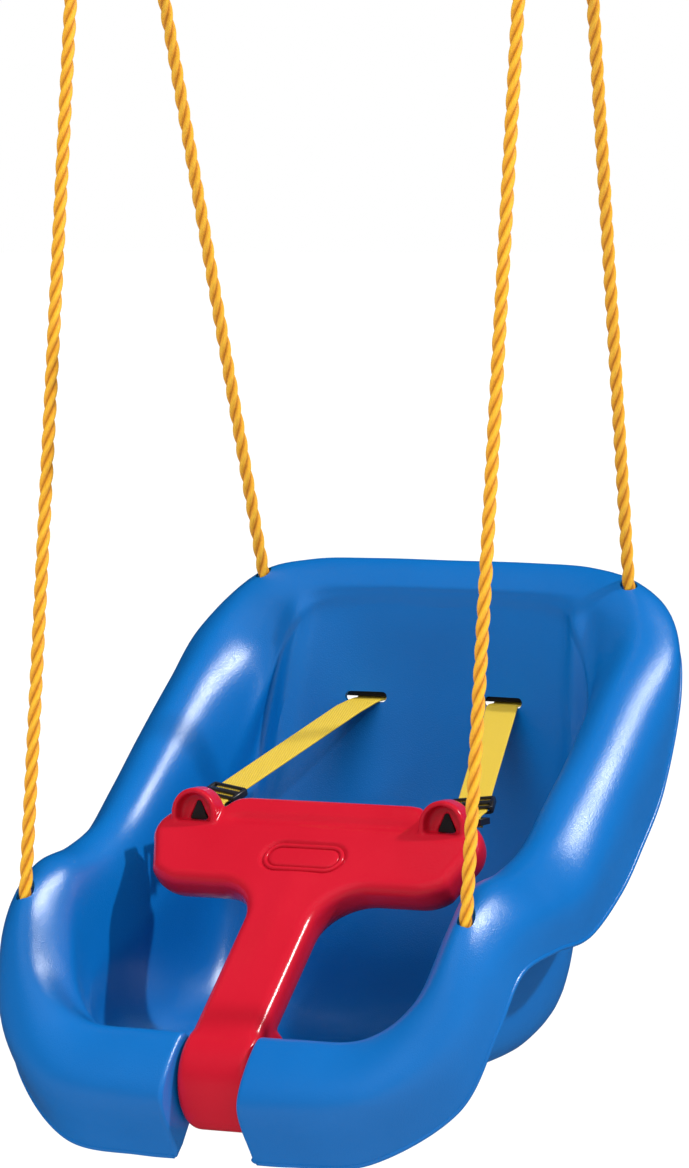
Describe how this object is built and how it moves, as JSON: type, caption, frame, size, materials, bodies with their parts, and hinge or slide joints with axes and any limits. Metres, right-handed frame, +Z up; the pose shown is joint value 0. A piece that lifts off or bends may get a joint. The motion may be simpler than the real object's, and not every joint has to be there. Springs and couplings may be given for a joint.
{
  "type": "toddler bucket swing",
  "caption": "Moulded toddler bucket swing seat with a hinged T-shaped safety bar, shoulder straps and twisted ropes on pivot hangers.",
  "frame": {"origin": "midway between the two hangers, on the underside of the beam they screw to", "axes": "+Z up, -Y the way the child faces, +X the child's left"},
  "size_m": [0.4224, 0.4501, 0.9324],
  "materials": {
    "seat_blue": "blue moulded polyethylene, fine orange-peel grain",
    "bar_red": "smooth glossy red polyethylene",
    "badge_red": "smooth glossy red, blank",
    "rope_yellow": "three-strand laid polypropylene, golden yellow",
    "strap_yellow": "flat woven webbing, yellow",
    "buckle_black": "satin black",
    "zinc": "zinc-plated steel"
  },
  "bodies": {
    "hangers": {"left_hanger": "zinc", "right_hanger": "zinc", "left_pin": "zinc", "right_pin": "zinc", "left_pin_nut": "zinc", "right_pin_nut": "zinc"},
    "seat": {"seat_shell": "seat_blue", "hinge_rod": "zinc", "left_rod_cap": "zinc", "right_rod_cap": "zinc", "left_webbing": "strap_yellow", "right_webbing": "strap_yellow", "left_strap_anchor": "buckle_black", "right_strap_anchor": "buckle_black", "left_front_rope": "rope_yellow", "left_front_knot": "rope_yellow", "left_front_stop_knot": "rope_yellow", "left_rear_rope": "rope_yellow", "left_rear_knot": "rope_yellow", "left_rear_stop_knot": "rope_yellow", "left_spreader": "zinc", "right_front_rope": "rope_yellow", "right_front_knot": "rope_yellow", "right_front_stop_knot": "rope_yellow", "right_rear_rope": "rope_yellow", "right_rear_knot": "rope_yellow", "right_rear_stop_knot": "rope_yellow", "right_spreader": "zinc"},
    "safety_bar": {"t_bar": "bar_red", "badge": "badge_red", "left_catch": "buckle_black", "right_catch": "buckle_black"},
    "left_adjuster": {"left_adjuster": "buckle_black"},
    "right_adjuster": {"right_adjuster": "buckle_black"}
  },
  "joints": [
    {"name": "swing", "type": "hinge", "parent": "hangers", "child": "seat", "pos_m": [0, 0, -0.026], "axis": [1, 0, 0], "range_deg": [-40, 40]},
    {"name": "bar_hinge", "type": "hinge", "parent": "seat", "child": "safety_bar", "pos_m": [0, -0.135, -0.877], "axis": [1, 0, 0], "range_deg": [0, 75], "deforming": ["left_webbing", "right_webbing"]},
    {"name": "left_adjuster_slide", "type": "slide", "parent": "safety_bar", "child": "left_adjuster", "axis": [0.2627, 0.8932, 0.3649], "range_m": [0, 0.03]},
    {"name": "right_adjuster_slide", "type": "slide", "parent": "safety_bar", "child": "right_adjuster", "axis": [-0.2627, 0.8932, 0.3649], "range_m": [0, 0.03]}
  ]
}
